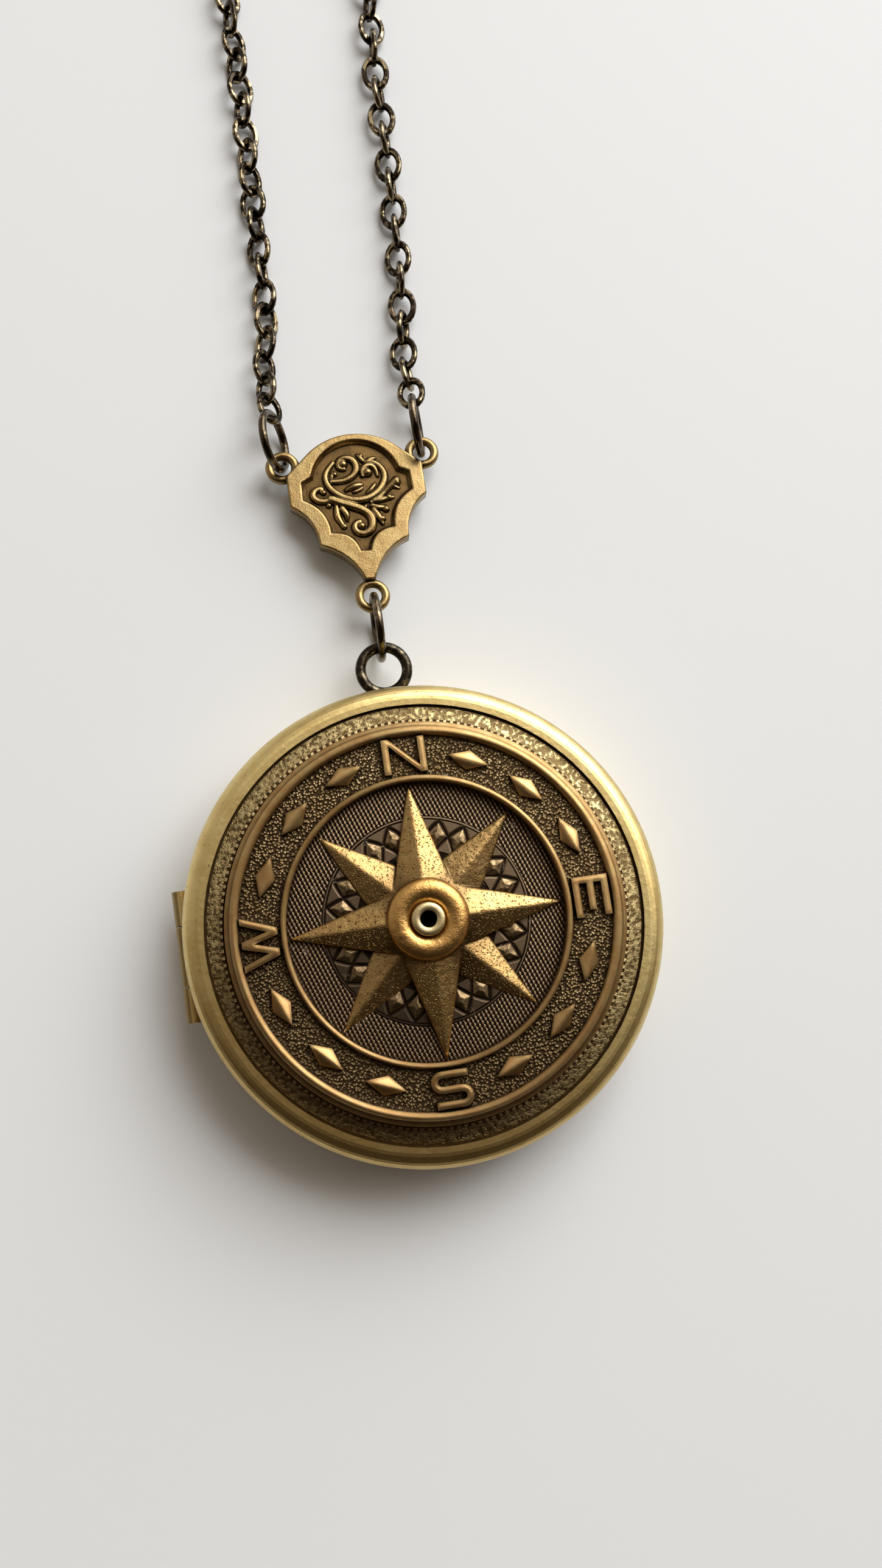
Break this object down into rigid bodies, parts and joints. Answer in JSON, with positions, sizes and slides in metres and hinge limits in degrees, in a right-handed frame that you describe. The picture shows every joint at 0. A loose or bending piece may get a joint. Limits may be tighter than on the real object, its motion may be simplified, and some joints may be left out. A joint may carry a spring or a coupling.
{
  "type": "compass locket necklace",
  "caption": "Round hinged brass locket with a raised compass dial and star on its lid, hung from a cast scroll connector on a fine cable chain.",
  "frame": {"origin": "centre of the locket's flat back, which rests on the surface", "axes": "+Z the way the dial faces, +Y from the locket's centre to its bail and the dial's N, X across with the hinge on the -X side"},
  "size_m": [0.0948, 0.2125, 0.008],
  "materials": {
    "case_brass": "satin",
    "aged_dial": "antiqued, bright on the raised parts",
    "warm_brass": "worn bright",
    "antique_gold": "antiqued satin",
    "dark_wire": "dark plated, glossy",
    "dark_chain": "dark antiqued"
  },
  "bodies": {
    "base": {"back_cover": "case_brass", "hinge_pin": "dark_wire", "pendant_ring": "dark_wire", "connector": "antique_gold", "left_end_ring": "dark_wire", "right_end_ring": "dark_wire", "left_chain": "dark_chain", "right_chain": "dark_chain", "clasp_ring": "dark_wire", "clasp": "dark_wire", "catch_ring": "dark_wire"},
    "lid": {"front_cover": "case_brass", "compass_dial": "aged_dial", "compass_star": "warm_brass", "star_rivet": "warm_brass"}
  },
  "joints": [
    {"name": "lid_hinge", "type": "hinge", "parent": "base", "child": "lid", "pos_m": [-0.0158, 0, 0.0031], "axis": [0, -1, 0], "range_deg": [0, 150]}
  ]
}
